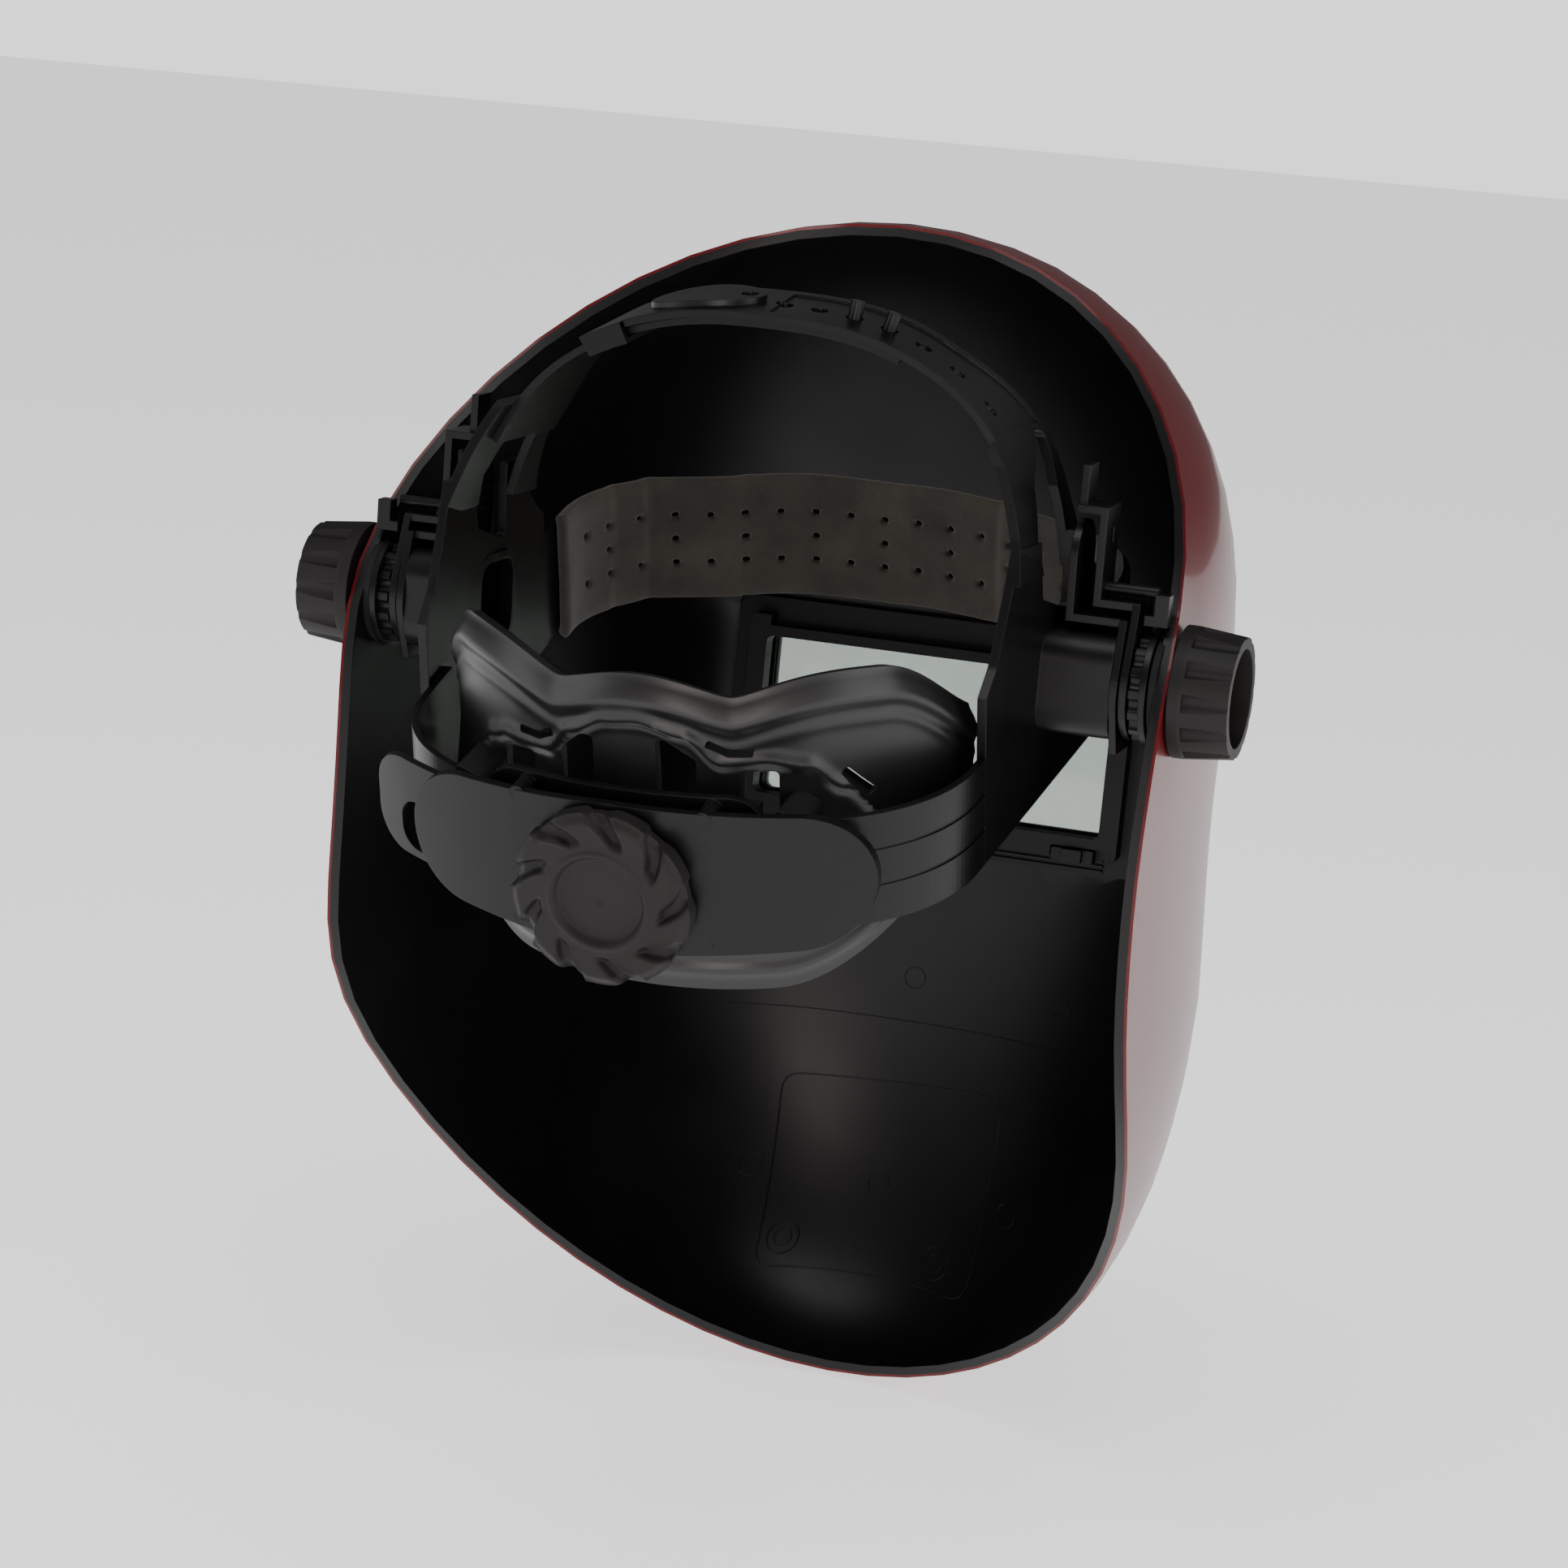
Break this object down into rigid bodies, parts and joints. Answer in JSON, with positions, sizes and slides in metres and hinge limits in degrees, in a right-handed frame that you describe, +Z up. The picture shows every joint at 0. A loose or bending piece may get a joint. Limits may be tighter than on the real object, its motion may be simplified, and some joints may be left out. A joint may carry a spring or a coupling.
{
  "type": "flip-up welding helmet",
  "caption": "Flip-up welding helmet: a deep curved face shell with a flat rectangular viewing window, hung on an adjustable ratchet headband by temple pivots.",
  "frame": {"origin": "middle of the tilt axis, between the two temple pivots", "axes": "+Z up with the head upright, -Y the way the wearer faces, -X the wearer's right hand"},
  "size_m": [0.236, 0.2797, 0.319],
  "materials": {
    "shell_lacquer": "glossy red lacquer outside, satin black inside",
    "lens_frame_plastic": "satin black moulded plastic",
    "clear_cover_pane": "clear polycarbonate pane",
    "filter_glass": "pale filter glass",
    "black_rubber": "matte rubber",
    "brown_felt": "perforated felt",
    "pad_nylon": "satin ribbed flexible plastic",
    "headgear_nylon": "satin nylon with a fine mould grain",
    "knob_plastic": "matte soft-touch plastic",
    "zinc_steel": "zinc plated",
    "brass_insert": "turned"
  },
  "bodies": {
    "headgear": {"front_band": "headgear_nylon", "sweatband": "brown_felt", "side_frame_right": "headgear_nylon", "side_frame_left": "headgear_nylon", "rear_strap_right": "headgear_nylon", "rear_strap_left": "headgear_nylon", "top_strap_right": "headgear_nylon", "top_strap_left": "headgear_nylon", "strap_keeper": "headgear_nylon", "index_plate_right": "headgear_nylon", "index_plate_left": "headgear_nylon", "detent_ring_right": "headgear_nylon", "detent_ring_left": "headgear_nylon", "spacer_washer_right": "headgear_nylon", "spacer_washer_left": "headgear_nylon", "pivot_bolt_right": "zinc_steel", "pivot_bolt_left": "zinc_steel", "ratchet_cover": "headgear_nylon", "ratchet_base": "headgear_nylon", "nape_pad": "pad_nylon"},
    "shell_body": {"shell": "shell_lacquer", "lens_frame": "lens_frame_plastic", "outer_lens": "clear_cover_pane", "filter_lens": "filter_glass", "inner_lens": "clear_cover_pane", "lens_gasket": "black_rubber", "stop_clip_right": "headgear_nylon", "stop_clip_left": "headgear_nylon", "friction_ring_right": "black_rubber", "friction_ring_left": "black_rubber"},
    "latch": {"lens_latch": "lens_frame_plastic"},
    "knob_right": {"tension_knob_right": "knob_plastic", "knob_insert_right": "brass_insert"},
    "knob_left": {"tension_knob_left": "knob_plastic", "knob_insert_left": "brass_insert"},
    "lever_right": {"stop_lever_right": "headgear_nylon"},
    "lever_left": {"stop_lever_left": "headgear_nylon"},
    "ratchet": {"ratchet_knob": "knob_plastic", "ratchet_pinion": "headgear_nylon", "click_spring": "zinc_steel", "ratchet_screw": "zinc_steel"},
    "slide_right": {"rack_right": "headgear_nylon"},
    "slide_left": {"rack_left": "headgear_nylon"}
  },
  "joints": [
    {"name": "shell_tilt", "type": "hinge", "parent": "headgear", "child": "shell_body", "pos_m": [0, 0, 0], "axis": [-1, 0, 0], "range_deg": [0, 75]},
    {"name": "tension_right", "type": "hinge", "parent": "headgear", "child": "knob_right", "pos_m": [0, 0, 0], "axis": [-1, 0, 0], "range_deg": [-180, 180]},
    {"name": "tension_left", "type": "hinge", "parent": "headgear", "child": "knob_left", "pos_m": [0, 0, 0], "axis": [1, 0, 0], "range_deg": [-180, 180]},
    {"name": "stop_setting_right", "type": "hinge", "parent": "headgear", "child": "lever_right", "pos_m": [0, 0, 0], "axis": [1, 0, 0], "range_deg": [0, 6]},
    {"name": "stop_setting_left", "type": "hinge", "parent": "headgear", "child": "lever_left", "pos_m": [0, 0, 0], "axis": [1, 0, 0], "range_deg": [0, 6]},
    {"name": "ratchet_turn", "type": "hinge", "parent": "headgear", "child": "ratchet", "pos_m": [0, 0.09388, -0.04191], "axis": [0, 0.9681, -0.2504], "range_deg": [-72, 72]},
    {"name": "rack_right_feed", "type": "hinge", "parent": "headgear", "child": "slide_right", "pos_m": [0, -0.00968, -0.011], "axis": [0, 0.2504, 0.9681], "range_deg": [-3.4, 3.4]},
    {"name": "rack_left_feed", "type": "hinge", "parent": "headgear", "child": "slide_left", "pos_m": [0, -0.00968, -0.011], "axis": [0, 0.2504, 0.9681], "range_deg": [-3.4, 3.4]},
    {"name": "latch_slide", "type": "slide", "parent": "shell_body", "child": "latch", "axis": [-1, 0, 0], "range_m": [0, 0.004]}
  ],
  "couplings": [
    {"joint": "rack_right_feed", "follows": "ratchet_turn", "ratio": 0.042163},
    {"joint": "rack_left_feed", "follows": "ratchet_turn", "ratio": -0.042991}
  ]
}
